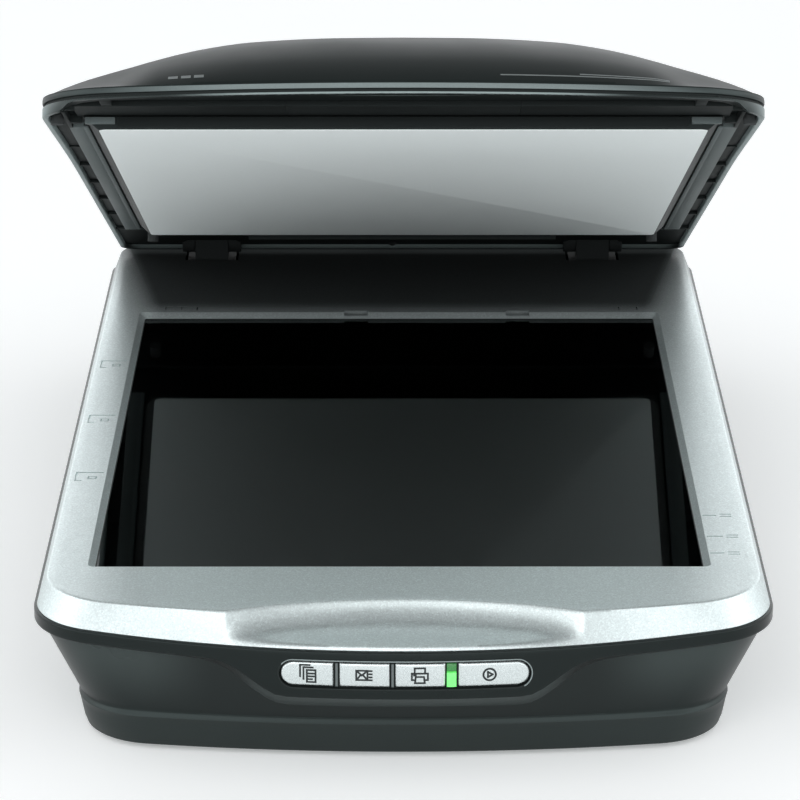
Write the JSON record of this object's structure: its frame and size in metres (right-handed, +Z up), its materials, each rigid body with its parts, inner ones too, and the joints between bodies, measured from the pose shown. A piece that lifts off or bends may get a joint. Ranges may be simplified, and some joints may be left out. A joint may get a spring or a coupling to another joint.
{
  "type": "flatbed scanner",
  "caption": "Flatbed scanner with a hinged lid, rising hinge posts, a glass bed in a silver bezel, a row of front buttons, a moving scan carriage and a transparency lamp in the lid.",
  "frame": {"origin": "on the ground plane under the middle of the case, at the underside of the rubber feet", "axes": "+X to the right seen from the front, +Y to the back, +Z up"},
  "size_m": [0.271, 0.495, 0.2549],
  "materials": {
    "black_case": "moulded black plastic, fine texture, satin",
    "black_inner": "plain black plastic",
    "silver_shell": "silver paint over plastic, fine metallic grain",
    "lid_black": "moulded black plastic, fine texture, satin",
    "lid_grey": "grey plastic, satin",
    "clear_glass": "polished float glass",
    "tape": "double-sided tape",
    "white_matte": "matt white sheet",
    "diffuser": "opal acrylic",
    "button_silver": "silver paint, smooth",
    "green_light": "translucent green light pipe",
    "foot_rubber": "soft rubber",
    "board": "green solder mask",
    "chips": "moulded epoxy",
    "steel": "ground steel",
    "zinc": "zinc-plated steel",
    "motor_can": "drawn steel can",
    "brass": "machined brass",
    "white_gear": "natural acetal",
    "belt": "fabric-backed rubber belt",
    "mirror": "front-silvered glass",
    "lens": "black lens barrel",
    "led": "white LEDs behind a clear guide",
    "bronze": "sintered bronze",
    "cable": "soft cable sheath",
    "ribbon": "flat flexible cable",
    "port_metal": "nickel-plated shell"
  },
  "bodies": {
    "base": {"lower_case": "black_case", "top_bezel": "silver_shell", "scan_glass": "clear_glass", "glass_tape": "tape", "calibration_strip": "white_matte", "rubber_feet": "foot_rubber", "case_screws": "zinc", "status_light": "green_light", "button_board": "board", "tact_switches": "chips", "main_board": "board", "board_components": "chips", "data_port": "port_metal", "power_inlet": "black_inner", "lid_socket": "black_inner", "guide_rod": "steel", "rod_clips": "black_inner", "drive_shaft": "steel", "motor_bracket": "zinc", "drive_motor": "motor_can", "drive_belt": "belt", "idler_pin": "steel", "ribbon_cable": "ribbon", "lid_cable": "cable"},
    "scan_to_pdf_key": {"scan_to_pdf_button": "button_silver"},
    "email_key": {"email_button": "button_silver"},
    "copy_key": {"copy_button": "button_silver"},
    "start_key": {"start_button": "button_silver"},
    "lock": {"transport_lock": "lid_grey"},
    "carriage": {"carriage_frame": "black_inner", "carriage_bushes": "bronze", "glide_pad": "white_gear", "led_bar": "black_inner", "light_guide": "led", "fold_mirrors": "mirror", "imaging_lens": "lens", "sensor_board": "board"},
    "drive_gear_body": {"drive_gear": "white_gear"},
    "pinion_body": {"motor_pinion": "brass", "motor_shaft": "steel"},
    "idler_body": {"idler_pulley": "white_gear"},
    "hinge_carrier": {"hinge_posts": "black_case", "hinge_pins": "steel"},
    "lid": {"lid_cover": "lid_black", "lid_frame": "lid_grey", "hinge_arms": "zinc", "hinge_screws": "zinc", "lid_bumpers": "foot_rubber", "tpu_diffuser": "diffuser", "tpu_rod": "steel", "tpu_pulley_pins": "steel", "tpu_motor": "motor_can", "tpu_belt": "belt"},
    "mat": {"mat_tray": "lid_black", "mat_sheet": "white_matte"},
    "tpu_carriage": {"tpu_lamp_carriage": "black_inner", "tpu_lamp": "led"},
    "tpu_drive_body": {"tpu_drive_pulley": "white_gear"},
    "tpu_idler_body": {"tpu_idler_pulley": "white_gear"}
  },
  "joints": [
    {"name": "scan_to_pdf_press", "type": "slide", "parent": "base", "child": "scan_to_pdf_key", "axis": [0, 1, 0], "range_m": [0, 0.0008], "stiffness_N_per_m": 400},
    {"name": "email_press", "type": "slide", "parent": "base", "child": "email_key", "axis": [0, 1, 0], "range_m": [0, 0.0008], "stiffness_N_per_m": 400},
    {"name": "copy_press", "type": "slide", "parent": "base", "child": "copy_key", "axis": [0, 1, 0], "range_m": [0, 0.0008], "stiffness_N_per_m": 400},
    {"name": "start_press", "type": "slide", "parent": "base", "child": "start_key", "axis": [0, 1, 0], "range_m": [0, 0.0008], "stiffness_N_per_m": 400},
    {"name": "lock_slide", "type": "slide", "parent": "base", "child": "lock", "axis": [1, 0, 0], "range_m": [0, 0.008]},
    {"name": "carriage_slide", "type": "slide", "parent": "base", "child": "carriage", "axis": [0, -1, 0], "range_m": [0, 0.311]},
    {"name": "drive_gear_turn", "type": "hinge", "parent": "base", "child": "drive_gear_body", "pos_m": [0.025, 0.19, 0.01], "axis": [0, 0, 1], "range_deg": [0, 2092.47]},
    {"name": "pinion_turn", "type": "hinge", "parent": "base", "child": "pinion_body", "pos_m": [0.05068, 0.19, 0.01], "axis": [0, 0, 1], "range_deg": [-6277.4, 0]},
    {"name": "idler_turn", "type": "hinge", "parent": "base", "child": "idler_body", "pos_m": [0.025, -0.206, 0.016], "axis": [0, 0, 1], "range_deg": [0, 2092.47]},
    {"name": "hinge_lift", "type": "slide", "parent": "base", "child": "hinge_carrier", "axis": [0, 0, 1], "range_m": [0, 0.025]},
    {"name": "lid_hinge", "type": "hinge", "parent": "hinge_carrier", "child": "lid", "pos_m": [0, 0.2135, 0.068], "axis": [-1, 0, 0], "range_deg": [-23.5, 65], "deforming": ["lid_cable"]},
    {"name": "mat_slide", "type": "slide", "parent": "lid", "child": "mat", "axis": [0, -0.9171, 0.3987], "range_m": [0, 0.33]},
    {"name": "tpu_lamp_slide", "type": "slide", "parent": "lid", "child": "tpu_carriage", "axis": [0, -0.9171, 0.3987], "range_m": [0, 0.215]},
    {"name": "tpu_drive_turn", "type": "hinge", "parent": "lid", "child": "tpu_drive_body", "pos_m": [-0.0572, 0.15359, 0.0995], "axis": [0, 0.3987, 0.9171], "range_deg": [-2271.75, 0]},
    {"name": "tpu_idler_turn", "type": "hinge", "parent": "lid", "child": "tpu_idler_body", "pos_m": [-0.0572, -0.11419, 0.21594], "axis": [0, 0.3987, 0.9171], "range_deg": [-2271.75, 0]}
  ],
  "couplings": [
    {"joint": "drive_gear_turn", "follows": "carriage_slide", "rad_per_m": 117.37},
    {"joint": "pinion_turn", "follows": "carriage_slide", "rad_per_m": -352.11},
    {"joint": "idler_turn", "follows": "carriage_slide", "rad_per_m": 117.37},
    {"joint": "tpu_drive_turn", "follows": "tpu_lamp_slide", "rad_per_m": -184.33},
    {"joint": "tpu_idler_turn", "follows": "tpu_lamp_slide", "rad_per_m": -184.33}
  ]
}
